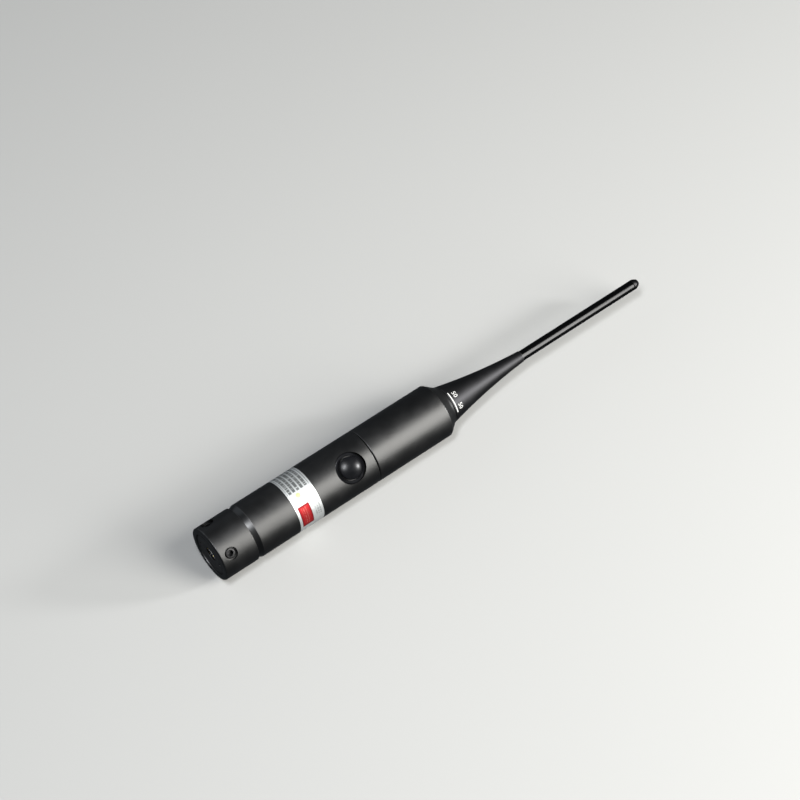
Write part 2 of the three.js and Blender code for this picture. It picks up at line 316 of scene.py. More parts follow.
def carve(obj, cutter_bm):
    """Cuts the cutter's shape out of a piece."""
    cutter = mesh_object("cutter", cutter_bm)
    modifier = obj.modifiers.new("cut", "BOOLEAN")
    modifier.operation = "DIFFERENCE"
    modifier.solver = "EXACT"
    modifier.object = cutter
    apply_modifiers(obj)
    spare = cutter.data
    bpy.data.objects.remove(cutter)
    bpy.data.meshes.remove(spare)


def radial_normals(obj):
    """Points the normals of a turned wall straight away from the long axis, also round what is cut in it."""
    mesh = obj.data
    axis = Vector((0, 0, AXIS_HEIGHT * MM))
    normals = [corner.vector.copy() for corner in mesh.corner_normals]
    for face in mesh.polygons:
        if face.normal.dot(away_from(face.center, axis)) > 0.999:
            for index in face.loop_indices:
                normals[index] = away_from(mesh.vertices[mesh.loops[index].vertex_index].co, axis)
    mesh.normals_split_custom_set(normals)


def away_from(point, axis):
    return Vector((0, point.y - axis.y, point.z - axis.z)).normalized()


def finish_piece(obj, finish, body, *nodes, sharp=32):
    """Shades a piece, gives it its finish and joins it to a body of the frame."""
    if not obj.data.polygons:
        raise RuntimeError(obj.name + " came out empty")
    obj.data.materials.clear()
    obj.data.materials.append(finish.material())
    obj.data.shade_smooth()
    obj.data.set_sharp_from_angle(angle=math.radians(sharp))
    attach(obj, body)
    if nodes:
        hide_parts(*nodes)
    return obj


def turned_piece(name, outline, finish, body, *nodes, around=72):
    return finish_piece(mesh_object(name, turned(outline, around)), finish, body, *nodes)


def joined_piece(name, shapes, finish, body, *nodes):
    return finish_piece(mesh_object(name, merged(*shapes)), finish, body, *nodes)


# ---- node tools ----
class Tree:
    """Adds nodes to a node tree; an input is a value or another node's output."""

    def __init__(self, tree):
        self.tree = tree

    def add(self, kind, inputs=None, **options):
        node = self.tree.nodes.new(kind)
        for name, value in options.items():
            setattr(node, name, value)
        for name, value in (inputs or {}).items():
            if isinstance(value, bpy.types.NodeSocket):
                self.tree.links.new(value, node.inputs[name])
            else:
                node.inputs[name].default_value = value
        return node

    def math(self, operation, *values, clamp=False):
        inputs = dict(enumerate(values))
        return self.add("ShaderNodeMath", inputs, operation=operation, use_clamp=clamp).outputs[0]

    def ramp(self, value, low, high, out_low=0.0, out_high=1.0):
        """Runs smoothly from out_low to out_high as the value goes from low to high."""
        inputs = {"Value": value, "From Min": low, "From Max": high, "To Min": out_low, "To Max": out_high}
        return self.add("ShaderNodeMapRange", inputs, interpolation_type="SMOOTHSTEP").outputs["Result"]

    def mix(self, factor, first, second):
        node = self.add("ShaderNodeMix", data_type="RGBA")
        for socket, value in ((node.inputs[0], factor), (node.inputs[6], first), (node.inputs[7], second)):
            if isinstance(value, bpy.types.NodeSocket):
                self.tree.links.new(value, socket)
            elif socket == node.inputs[0]:
                socket.default_value = value
            else:
                socket.default_value = (*value[:3], 1)
        return node.outputs[2]

    def between(self, value, low, high, soft):
        """One between low and high, nought outside, with soft edges."""
        rise = self.ramp(value, low - soft, low + soft)
        fall = self.ramp(value, high - soft, high + soft, 1.0, 0.0)
        return self.math("MULTIPLY", rise, fall)


def effect_group(name, inputs, outputs):
    """An empty node group with its sockets, or None where it is already there."""
    if name in bpy.data.node_groups:
        return None
    tree = bpy.data.node_groups.new(name, "ShaderNodeTree")
    for label, default in inputs.items():
        socket = tree.interface.new_socket(label, in_out="INPUT", socket_type="NodeSocketFloat")
        socket.default_value = default
    for label in outputs:
        tree.interface.new_socket(label, in_out="OUTPUT", socket_type="NodeSocketFloat")
    tools = Tree(tree)
    return tools, tree.nodes.new("NodeGroupInput"), tree.nodes.new("NodeGroupOutput")


def object_position(tools):
    return tools.add("ShaderNodeTexCoord").outputs["Object"]


def object_axes(tools):
    return tools.add("ShaderNodeSeparateXYZ", {"Vector": object_position(tools)}).outputs


def above_axis(tools, axes):
    return tools.math("SUBTRACT", axes["Z"], AXIS_HEIGHT * MM)


def station_from(tools, axes, origin):
    """Millimetres along the tube, counted from a station."""
    return tools.math("SUBTRACT", tools.math("MULTIPLY", axes["X"], 1 / MM), LASER_END + origin)


def blasted_grain():
    """Fine bead-blast pits and slow blotches, in object space."""
    name = "Blasted Grain"
    inputs = {"Grain per metre": 9000.0, "Blotch per metre": 120.0}
    made = effect_group(name, inputs, ("Height", "Blotch"))
    if made:
        tools, source, sink = made
        position = object_position(tools)
        for scale, detail, roughness, result in (
            ("Grain per metre", 2.0, 0.6, "Height"),
            ("Blotch per metre", 4.0, 0.55, "Blotch"),
        ):
            inputs = {"Vector": position, "Scale": source.outputs[scale], "Detail": detail}
            noise = tools.add("ShaderNodeTexNoise", {**inputs, "Roughness": roughness})
            tools.tree.links.new(noise.outputs["Fac"], sink.inputs[result])
    return bpy.data.node_groups[name]


def turning_lines():
    """Fine lines that a lathe tool leaves round the long axis."""
    name = "Turning Lines"
    made = effect_group(name, {"Lines per metre": 5000.0, "Waver": 0.4}, ("Height",))
    if made:
        tools, source, sink = made
        axes = object_axes(tools)
        along = tools.math("MULTIPLY", axes["X"], source.outputs["Lines per metre"])
        around = tools.math("ARCTAN2", axes["Y"], above_axis(tools, axes))
        drift = tools.math("MULTIPLY", around, source.outputs["Waver"])
        vector = tools.add("ShaderNodeCombineXYZ", {"X": along, "Y": drift})
        noise = tools.add("ShaderNodeTexNoise", {"Vector": vector.outputs[0], "Scale": 1.0, "Detail": 3.0})
        tools.tree.links.new(noise.outputs["Fac"], sink.inputs["Height"])
    return bpy.data.node_groups[name]


def edge_wear():
    """Breaks up the wear of a worn edge with noise."""
    name = "Edge Wear"
    made = effect_group(name, {"Edge": 0.0, "Break up": 0.7}, ("Mask",))
    if made:
        tools, source, sink = made
        patches = {"Vector": object_position(tools), "Scale": 700.0, "Detail": 3.0}
        noise = tools.add("ShaderNodeTexNoise", patches)
        patchy = tools.ramp(noise.outputs["Fac"], 0.35, 0.65)
        keep = tools.math("SUBTRACT", 1.0, tools.math("MULTIPLY", patchy, source.outputs["Break up"]))
        tools.tree.links.new(tools.math("MULTIPLY", source.outputs["Edge"], keep), sink.inputs["Mask"])
    return bpy.data.node_groups[name]


def new_material(name, **values):
    """A Principled material with its plain values set on the shader's own sockets."""
    material = bpy.data.materials.new(name)
    material.use_nodes = True
    shader = material.node_tree.nodes["Principled BSDF"]
    for label, value in values.items():
        socket = shader.inputs[label.replace("_", " ")]
        socket.default_value = (*value, 1) if hasattr(value, "__len__") else value
    return material, Tree(material.node_tree), shader


def bump(tools, shader, height, strength, distance):
    inputs = {"Height": height, "Strength": strength, "Distance": distance * MM}
    node = tools.add("ShaderNodeBump", inputs)
    tools.tree.links.new(node.outputs["Normal"], shader.inputs["Normal"])


def rgb(shade):
    """A colour given as its three values or by its name in the finish settings."""
    return tuple(getattr(bpy.context.scene.boresighter_finish, shade) if isinstance(shade, str) else shade)


def scaled(base, factor):
    return tuple(min(1, channel * factor) for channel in base)


class Finish:
    """A finish for pieces: the slot that it stands for, which is not used, and its material, which is made
    once.
    """

    def __init__(self, slot, build, *values, name=None):
        self.slot = slot
        self.name = name or slot
        self.build = build
        self.values = values
        self.made = None

    def material(self):
        if self.made is None:
            self.made = self.build(self.name, *self.values)
        return self.made


def grained(tools, **scales):
    """The blasted grain's outputs, with its own scales where they are given."""
    inputs = {label.replace("_", " "): value for label, value in scales.items()}
    return tools.add("ShaderNodeGroup", inputs, node_tree=blasted_grain()).outputs


def blasted_black(name, base, rough_low, rough_high, worn_edges):
    """Bead-blasted aluminium under a black oxide layer, rubbed at the stations of its edges."""
    half_width, soft, wear_share, bare_metal = 0.12, 0.08, 0.3, (0.22, 0.22, 0.22)
    material, tools, shader = new_material(name, Metallic=1.0)
    grain = grained(tools)
    tone = tools.mix(tools.ramp(grain["Blotch"], 0.3, 0.7), base, scaled(base, 1.2))
    station = station_from(tools, object_axes(tools), 0.0)
    rubbed = 0.0
    for edge in worn_edges:
        on_edge = tools.between(station, edge - half_width, edge + half_width, soft)
        rubbed = tools.math("ADD", rubbed, on_edge, clamp=True)
    wear = tools.add("ShaderNodeGroup", {"Edge": rubbed}, node_tree=edge_wear())
    worn = tools.mix(tools.math("MULTIPLY", wear.outputs["Mask"], wear_share), tone, bare_metal)
    tools.tree.links.new(worn, shader.inputs["Base Color"])
    rough = tools.ramp(grain["Blotch"], 0.3, 0.7, rough_low, rough_high)
    tools.tree.links.new(rough, shader.inputs["Roughness"])
    bump(tools, shader, grain["Height"], 0.10, 0.03)
    return material, tools, shader, rough, station


def tube_material(name):
    """The tubes' finish; the groove was cut after blasting, so its floor is smoother."""
    tube = settings("tube")
    end_break, flank, smoother = 0.25, 0.15, 0.08
    groove_end = tube.groove_start + tube.groove_width
    seam_front, seam_rear = REAR_FACE - 0.4, REAR_FACE + 0.1
    edges = (end_break, tube.groove_start, groove_end, seam_front, seam_rear, tube.shoulder_start)
    material, tools, shader, rough, station = blasted_black(name, rgb("anodised"), 0.40, 0.45, edges)
    in_groove = tools.between(station, tube.groove_start + flank, groove_end - flank, 0.1)
    turned_floor = tools.math("SUBTRACT", rough, tools.math("MULTIPLY", in_groove, smoother))
    tools.tree.links.new(turned_floor, shader.inputs["Roughness"])
    return material


def cone_material(name):
    """The cone's duller finish, rubbed at its two ends."""
    return blasted_black(name, rgb("cone"), 0.46, 0.52, (REAR_END + 0.35, CONE_TIP - 0.1))[0]


def rubber_material(name):
    base = rgb("rubber")
    material, tools, shader = new_material(name, Specular_IOR_Level=0.5)
    grain = grained(tools, Grain_per_metre=3500.0, Blotch_per_metre=500.0)
    tools.tree.links.new(tools.mix(grain["Blotch"], base, scaled(base, 1.8)), shader.inputs["Base Color"])
    tools.tree.links.new(tools.ramp(grain["Blotch"], 0.3, 0.7, 0.30, 0.38), shader.inputs["Roughness"])
    bump(tools, shader, grain["Height"], 0.08, 0.03)
    return material


def turned_metal(name, base, rough_low, rough_high, lines, strength):
    """A turned metal: lathe lines vary both its roughness and its surface."""
    base = rgb(base)
    material, tools, shader = new_material(name, Metallic=1.0)
    lathe = tools.add("ShaderNodeGroup", {"Lines per metre": lines}, node_tree=turning_lines())
    blotch = grained(tools, Blotch_per_metre=300.0)["Blotch"]
    tools.tree.links.new(tools.mix(blotch, scaled(base, 0.82), base), shader.inputs["Base Color"])
    rough = tools.ramp(lathe.outputs["Height"], 0.3, 0.7, rough_low, rough_high)
    tools.tree.links.new(rough, shader.inputs["Roughness"])
    bump(tools, shader, lathe.outputs["Height"], strength, 0.02)
    return material


def moulded(name, base, rough):
    """A moulded plastic or a rubber with a fine texture."""
    material, tools, shader = new_material(name)
    grain = grained(tools, Grain_per_metre=5000.0)
    tone = tools.mix(grain["Blotch"], scaled(base, 0.8), scaled(base, 1.25))
    tools.tree.links.new(tone, shader.inputs["Base Color"])
    spread = tools.ramp(grain["Blotch"], 0.3, 0.7, rough - 0.05, rough + 0.05)
    tools.tree.links.new(spread, shader.inputs["Roughness"])
    bump(tools, shader, grain["Height"], 0.08, 0.03)
    return material


def ink_material(name):
    material, tools, shader = new_material(name, Roughness=0.5)
    patchy = tools.ramp(grained(tools, Grain_per_metre=6000.0)["Height"], 0.3, 0.7)
    base = rgb("ink")
    tools.tree.links.new(tools.mix(patchy, scaled(base, 0.8), base), shader.inputs["Base Color"])
    return material


def glass_material(name):
    tint = (0.97, 0.985, 0.98)
    return new_material(name, Base_Color=tint, Roughness=0.02, IOR=1.5, Transmission_Weight=1.0)[0]


def board_material(name):
    """Solder mask over copper tracks."""
    material, tools, shader = new_material(name, Coat_Weight=0.3, Coat_Roughness=0.2)
    position = object_position(tools)
    stretched = tools.add("ShaderNodeMapping", {"Vector": position, "Scale": (500.0, 900.0, 900.0)})
    cells = tools.add(
        "ShaderNodeTexVoronoi",
        {"Vector": stretched.outputs[0], "Scale": 1.0},
        feature="DISTANCE_TO_EDGE",
        distance="EUCLIDEAN",
    )
    tracks = tools.ramp(cells.outputs["Distance"], 0.05, 0.09)
    tone = tools.mix(tracks, (0.012, 0.065, 0.028), (0.025, 0.16, 0.06))
    tools.tree.links.new(tone, shader.inputs["Base Color"])
    tools.tree.links.new(tools.ramp(tracks, 0.0, 1.0, 0.34, 0.42), shader.inputs["Roughness"])
    bump(tools, shader, tracks, 0.2, 0.03)
    return material


def foil_material(name):
    """Silver sticker: rows of small grey dashes, a warm panel, a dot and a few faint marks."""
    material, tools, shader = new_material(name)
    axes = object_axes(tools)
    along = station_from(tools, axes, (LABEL_START + LABEL_END) / 2)
    towards = tools.math("MULTIPLY", axes["Y"], -1.0)
    angle = tools.math("DEGREES", tools.math("ARCTAN2", above_axis(tools, axes), towards))

    def patch(angles, stations, soft_angle, soft_station):
        """One inside a patch, given in degrees round the tube and millimetres from the label's middle."""
        in_angles = tools.between(angle, *angles, soft_angle)
        return tools.math("MULTIPLY", in_angles, tools.between(along, *stations, soft_station))

    def dashes(rows_per_mm, band, soft, per_degree, low, high):
        """Rows of print, which noise breaks into dashes, differently in each row."""
        counted = tools.math("MULTIPLY", tools.math("ADD", along, 20.0), rows_per_mm)
        in_row = tools.between(tools.math("FRACT", counted), *band, soft)
        row = tools.math("FLOOR", counted)
        spread = {"X": tools.math("MULTIPLY", angle, per_degree), "Y": tools.math("MULTIPLY", row, 7.3)}
        place = tools.add("ShaderNodeCombineXYZ", spread).outputs[0]
        noise = tools.add("ShaderNodeTexNoise", {"Vector": place, "Scale": 1.0, "Detail": 1.0})
        return tools.math("MULTIPLY", in_row, tools.ramp(noise.outputs["Fac"], low, high))

    coarse = dashes(0.58, (0.18, 0.84), 0.07, 0.5, 0.33, 0.46)
    fine = dashes(1.1, (0.2, 0.8), 0.1, 0.9, 0.42, 0.52)
    text = tools.math("MULTIPLY", coarse, patch((73.0, 152.0), (-4.9, 4.7), 1.0, 0.15))
    faint = tools.math("MULTIPLY", fine, patch((6.0, 34.0), (1.9, 4.4), 1.5, 0.2))
    panel = patch((-6.0, 43.5), (-4.3, 0.6), 1.2, 0.12)
    inside = patch((-2.0, 40.0), (-3.9, 0.2), 1.2, 0.12)
    rim = tools.math("SUBTRACT", panel, inside, clamp=True)
    marked = tools.between(along, -3.1, -0.6, 0.2)
    panel_marks = tools.math("MULTIPLY", tools.math("MULTIPLY", fine, inside), marked)

    dot_station, dot_angle, mm_per_degree = 1.4, 64.0, 0.19
    across = tools.math("MULTIPLY", tools.math("SUBTRACT", angle, dot_angle), mm_per_degree)
    from_dot = tools.add("ShaderNodeCombineXYZ", {"X": tools.math("ADD", along, dot_station), "Y": across})
    distance = tools.add("ShaderNodeVectorMath", {0: from_dot.outputs[0]}, operation="LENGTH")
    dot = tools.ramp(distance.outputs["Value"], 0.75, 1.35, 1.0, 0.0)

    tone = rgb("foil")
    for mask, share, print_colour in (
        (text, 0.92, (0.035, 0.04, 0.04)),
        (faint, 0.55, (0.12, 0.12, 0.12)),
        (dot, 0.75, rgb("dot")),
        (panel, 1.0, rgb("panel")),
        (panel_marks, 0.4, (0.55, 0.22, 0.18)),
        (rim, 0.6, (0.05, 0.008, 0.01)),
    ):
        tone = tools.mix(tools.math("MULTIPLY", mask, share), tone, print_colour)
    tools.tree.links.new(tone, shader.inputs["Base Color"])

    tools.tree.links.new(tools.ramp(text, 0.0, 1.0, 0.75, 0.0), shader.inputs["Metallic"])
    blotch = grained(tools, Blotch_per_metre=200.0)["Blotch"]
    rough = tools.ramp(blotch, 0.3, 0.7, 0.42, 0.50)
    rougher = tools.math("ADD", rough, tools.math("MULTIPLY", panel, 0.1))
    tools.tree.links.new(rougher, shader.inputs["Roughness"])
    bump(tools, shader, blotch, 0.08, 0.2)
    return material


anodised = Finish("black_anodised", tube_material)
cone_black = Finish("black_anodised", cone_material, name="cone_black")
printed_ink = Finish("black_anodised", ink_material, name="printed_ink")
rubber = Finish("button_rubber", rubber_material)
label_foil = Finish("label_foil", foil_material)
board_green = Finish("board_green", board_material)
clear_glass = Finish("clear_glass", glass_material)
# metals: colour, lowest and highest roughness, lathe lines per metre, depth of the lines
oxide_steel = Finish("blackened_steel", turned_metal, "oxide", 0.34, 0.44, 6000.0, 0.10)
rod_steel = Finish("blackened_steel", turned_metal, "oxide", 0.19, 0.25, 6000.0, 0.05, name="ground_steel")
brass = Finish("module_brass", turned_metal, (0.72, 0.50, 0.20), 0.22, 0.34, 4000.0, 0.15)
nickel = Finish("nickel_can", turned_metal, (0.66, 0.66, 0.65), 0.20, 0.30, 7000.0, 0.05)
spring_wire = Finish("spring_steel", turned_metal, (0.52, 0.53, 0.55), 0.24, 0.34, 9000.0, 0.05)
# mouldings and small drops: colour and roughness
black_plastic = Finish("black_plastic", moulded, (0.018, 0.018, 0.020), 0.45)
bezel_black = Finish("black_bezel", moulded, (0.012, 0.012, 0.013), 0.55)
ring_rubber = Finish("o_ring_rubber", moulded, (0.010, 0.010, 0.010), 0.6)
red_cover = Finish("wire_red", moulded, (0.42, 0.02, 0.02), 0.4)
black_cover = Finish("wire_black", moulded, (0.012, 0.012, 0.012), 0.4)
ceramic = Finish("black_plastic", moulded, (0.46, 0.34, 0.20), 0.4, name="component_tan")
solder = Finish("nickel_can", moulded, (0.60, 0.60, 0.58), 0.3, name="solder_tin")


# ---- pieces ----
class BORESIGHTER_OT_front_section(bpy.types.Operator):
    """Front tube with its groove, seats and thread, the bezel, the window and the seam ring"""

    bl_idname = "boresighter.front_section"
    bl_label = "Front Section"

    def execute(self, context):
        tube = settings("tube")
        self.make_tube(tube)
        self.make_thread(tube)
        self.make_bezel()
        self.make_window()
        rubber_ring("seam_ring", "front_section", "seam_o_ring")
        return {"FINISHED"}

    def make_tube(self, tube):
        bore = BODY_RADIUS - tube.wall
        bezel_seat = span("aperture_bezel")[1] + 0.1
        seam_face = REAR_FACE - 0.3
        spigot = 9.2
        thread_root, thread_end = spigot - 0.5, spigot - 0.8
        ring_low, ring_high = span("seam_o_ring")
        ring_floor = 8.45
        groove_floor = BODY_RADIUS - tube.groove_depth
        groove_end = tube.groove_start + tube.groove_width
        flank = 0.15
        label_floor = BODY_RADIUS - 0.3
        edge = tube.edge_break
        outline = [
            (bezel_seat, bore, 0.05),
            (bezel_seat, 8.6),
            (0.0, 8.6, 0.15),
            (0.0, BODY_RADIUS, 0.45),
            (tube.groove_start, BODY_RADIUS, edge),
            (tube.groove_start + flank, groove_floor, 0.1),
            (groove_end, BODY_RADIUS, edge),
            (LABEL_START - 0.08, BODY_RADIUS, 0.05),
            (LABEL_START - 0.08, label_floor),
            (LABEL_END + 0.08, label_floor),
            (LABEL_END + 0.08, BODY_RADIUS, 0.05),
            (seam_face, BODY_RADIUS, 0.22),
            (seam_face, spigot, 0.1),
            (ring_low - 0.4, spigot, 0.1),
            (ring_low - 0.4, ring_floor, 0.1),
            (ring_high + 0.4, ring_floor, 0.1),
            (ring_high + 0.4, spigot, 0.1),
            (ring_high + 0.9, spigot, 0.1),
            (ring_high + 1.2, thread_root, 0.1),
            (SPIGOT_END - 0.5, thread_root, 0.1),
            (SPIGOT_END, thread_end, 0.1),
            (SPIGOT_END, bore, 0.1),
        ]
        piece = mesh_object("front_tube", turned(outline, tube.around, longest=4.0))
        cutters = [aim(self.screw_seat(), SCREW_STATION, outwards) for outwards in SCREW_OUT]
        cutters.append(aim(self.button_seat(), BUTTON_STATION, BUTTON_OUT))
        carve(piece, merged(*cutters))
        finish_piece(piece, anodised, "front_section", "front_housing")
        radial_normals(piece)

    def screw_seat(self):
        hole, seat, floor, beyond = 2.1, 2.6, 9.7, BODY_RADIUS + 3
        return turned([(5, 0), (5, hole), (floor, hole), (floor, seat), (beyond, seat), (beyond, 0)], 48)

    def button_seat(self):
        button = settings("button")
        stem, inside, beyond = 3.2, 5.3, BODY_RADIUS + 3
        floor, radius = button.seat_floor, button.seat_radius
        foot = [(inside, 0), (inside, stem), (floor, stem)]
        return turned([*foot, (floor, radius, 0.25), (beyond, radius), (beyond, 0)], 96)

    def make_thread(self, tube):
        """A ridge that winds round the spigot."""
        pitch = tube.thread_pitch / 2
        start = span("seam_o_ring")[1] + 1.5
        turns = (SPIGOT_END - 0.7 - start) / pitch
        bm = bmesh.new()
        foot, land, root, crest = 0.32, 0.06, 8.62, 9.15
        ridge = [(start - foot, root), (start - land, crest), (start + land, crest), (start + foot, root)]
        bm.faces.new([bm.verts.new((station, radius, 0)) for station, radius in ridge])
        steps = round(72 * turns)
        bmesh.ops.spin(
            bm,
            geom=bm.faces[:],
            axis=LONG_AXIS,
            angle=FULL_TURN * turns,
            steps=steps,
            dvec=Vector((pitch * turns / steps, 0, 0)),
        )
        bmesh.ops.recalc_face_normals(bm, faces=bm.faces)
        finish_piece(mesh_object("spigot_thread", bm), anodised, "front_section")

    def make_bezel(self):
        start, end = span("aperture_bezel")
        outer = half_height("aperture_bezel")
        outline = [
            (start, 2.8, 0.25),
            (start, outer, 0.2),
            (end, outer, 0.05),
            (end, 4.1),
            (start + 0.4, 4.1),
            (start + 0.4, 2.8, 0.05),
        ]
        piece = mesh_object("aperture_bezel_ring", turned(outline))
        spanner_holes = []
        hole_radius, hole_depth, from_axis = 0.6, 0.9, 5.9
        for side in (-1, 1):
            pin = prism(32, hole_radius, start - 0.5, start + hole_depth)
            bmesh.ops.translate(pin, vec=(0, side * from_axis, 0), verts=pin.verts)
            spanner_holes.append(pin)
        carve(piece, merged(*spanner_holes))
        finish_piece(piece, bezel_black, "front_section", "aperture_bezel")

    def make_window(self):
        start, end = span("aperture_window")
        glass = turned(disc(start, end, half_height("aperture_window"), 0.1))
        finish_piece(mesh_object("window_glass", glass), clear_glass, "front_section", "aperture_window")


def rubber_ring(name, body, node):
    """A ring of round section about the long axis, in the place of a node."""
    start, end = span(node)
    wire = (end - start) / 2
    bm = bmesh.new()
    circle = bmesh.ops.create_circle(bm, segments=16, radius=wire)
    bmesh.ops.translate(bm, vec=((start + end) / 2, half_height(node) - wire, 0), verts=circle["verts"])
    bmesh.ops.spin(
        bm, geom=bm.verts[:] + bm.edges[:], axis=LONG_AXIS, angle=FULL_TURN, steps=96, use_merge=True
    )
    bmesh.ops.remove_doubles(bm, verts=bm.verts, dist=WELD)
    bmesh.ops.recalc_face_normals(bm, faces=bm.faces)
    finish_piece(mesh_object(name, bm), ring_rubber, body, node)


class BORESIGHTER_OT_label(bpy.types.Operator):
    """Silver sticker round the front tube"""

    bl_idname = "boresighter.label"
    bl_label = "Label"

    def execute(self, context):
        outer = half_height("label_band")
        inner = outer - 0.2
        outline = [
            (LABEL_START, inner),
            (LABEL_START, outer, 0.04),
            (LABEL_END, outer, 0.04),
            (LABEL_END, inner),
        ]
        piece = mesh_object("label_sticker", turned(outline, settings("tube").around))
        finish_piece(piece, label_foil, "front_section", "label_band")
        radial_normals(piece)
        return {"FINISHED"}


class BORESIGHTER_OT_aiming_screws(bpy.types.Operator):
    """Four hex-socket grub screws that aim the laser"""

    bl_idname = "boresighter.aiming_screws"
    bl_label = "Aiming Screws"

    def execute(self, context):
        radius, root, tip, top, across, depth = 2.0, 1.78, 6.5, 10.1, 2.0, 1.5
        pitch = 0.7
        thread = []
        turn = tip + 1.0
        while turn < top - 0.6:
            thread += [(turn, root), (turn + pitch / 2, radius)]
            turn += pitch
        for number, outwards in enumerate(SCREW_OUT, 1):
            outline = [(tip, 0), (tip, radius - 0.8, 0.05), *thread, (top, radius, 0.3), (top, 0)]
            piece = mesh_object(f"aiming_screw_{number}", aim(turned(outline, 64), SCREW_STATION, outwards))
            hexagon = prism(6, across / math.sqrt(3), top - depth, top + 1.0)
            countersink = turned([(top - 0.25, 0), (top - 0.25, 0.95), (top + 0.2, 1.4), (top + 0.2, 0)], 48)
            carve(piece, aim(hexagon, SCREW_STATION, outwards))
            carve(piece, aim(countersink, SCREW_STATION, outwards))
            finish_piece(piece, oxide_steel, f"screw_{number}", f"adjust_screw_{number}")
        return {"FINISHED"}


class BORESIGHTER_OT_button(bpy.types.Operator):
    """Rubber push button and the ring round it"""

    bl_idname = "boresighter.button"
    bl_label = "Push Button"

    def execute(self, context):
        button = settings("button")
        base, stem, stem_end = 9.65, 2.9, 6.3
        rim_angle = math.asin(button.radius / button.dome)
        steps = 16
        dome = []
        for i in range(steps + 1):
            angle = rim_angle * (1 - i / steps)
            height = button.top - button.dome * (1 - math.cos(angle))
            dome.append((height, button.dome * math.sin(angle), 0.35 if i == 0 else 0))
        outline = [
            (stem_end, 0),
            (stem_end, stem, 0.3),
            (base, stem, 0.1),
            (base, button.radius, 0.15),
            *dome,
        ]
        cap = mesh_object("button_dome", aim(turned(outline, 96), BUTTON_STATION, BUTTON_OUT))
        finish_piece(cap, rubber, "button", "button_cap", sharp=50)
        low, high = 9.0, 9.5
        ring_outline = [
            (low, button.collar_inner, 0.05),
            (low, button.collar_outer, 0.05),
            (high - 0.3, button.collar_outer, 0.05),
            (high, button.collar_outer - 0.3, 0.15),
            (high, button.collar_inner, 0.15),
        ]
        ring = mesh_object("button_collar", aim(turned(ring_outline, 96), BUTTON_STATION, BUTTON_OUT))
        finish_piece(ring, rubber, "front_section", "button_ring")
        return {"FINISHED"}


class BORESIGHTER_OT_rear_section(bpy.types.Operator):
    """Battery tube with its sloping shoulder"""

    bl_idname = "boresighter.rear_section"
    bl_label = "Rear Section"

    def execute(self, context):
        tube = settings("tube")
        bore = 9.35
        cavity, cavity_start, cavity_end = 6.85, 76.6, 103.2
        stud, stud_floor = 3.2, 104.3
        outline = [
            (stud_floor, 0),
            (stud_floor, stud),
            (REAR_END, stud, 0.2),
            (REAR_END, tube.end_radius, 0.1),
            (tube.waist_station, tube.waist_radius, 0.3),
            (tube.shoulder_start, BODY_RADIUS, 0.18),
            (REAR_FACE, BODY_RADIUS, 0.4),
            (REAR_FACE, bore, 0.2),
            (cavity_start, bore),
            (cavity_start, cavity, 0.2),
            (cavity_end, cavity),
            (cavity_end, 0),
        ]
        piece = mesh_object("rear_tube", turned(outline, tube.around, longest=4.0))
        finish_piece(piece, anodised, "rear_section", "rear_housing")
        radial_normals(piece)
        return {"FINISHED"}


def cone_radius(cone, t):
    """The cone's radius: one gentle inward curve through its ends and its middle."""
    bend = 2 * (cone.big_radius + cone.small_radius - 2 * cone.middle_radius)
    return cone.big_radius + (cone.small_radius - cone.big_radius - bend) * t + bend * t * t


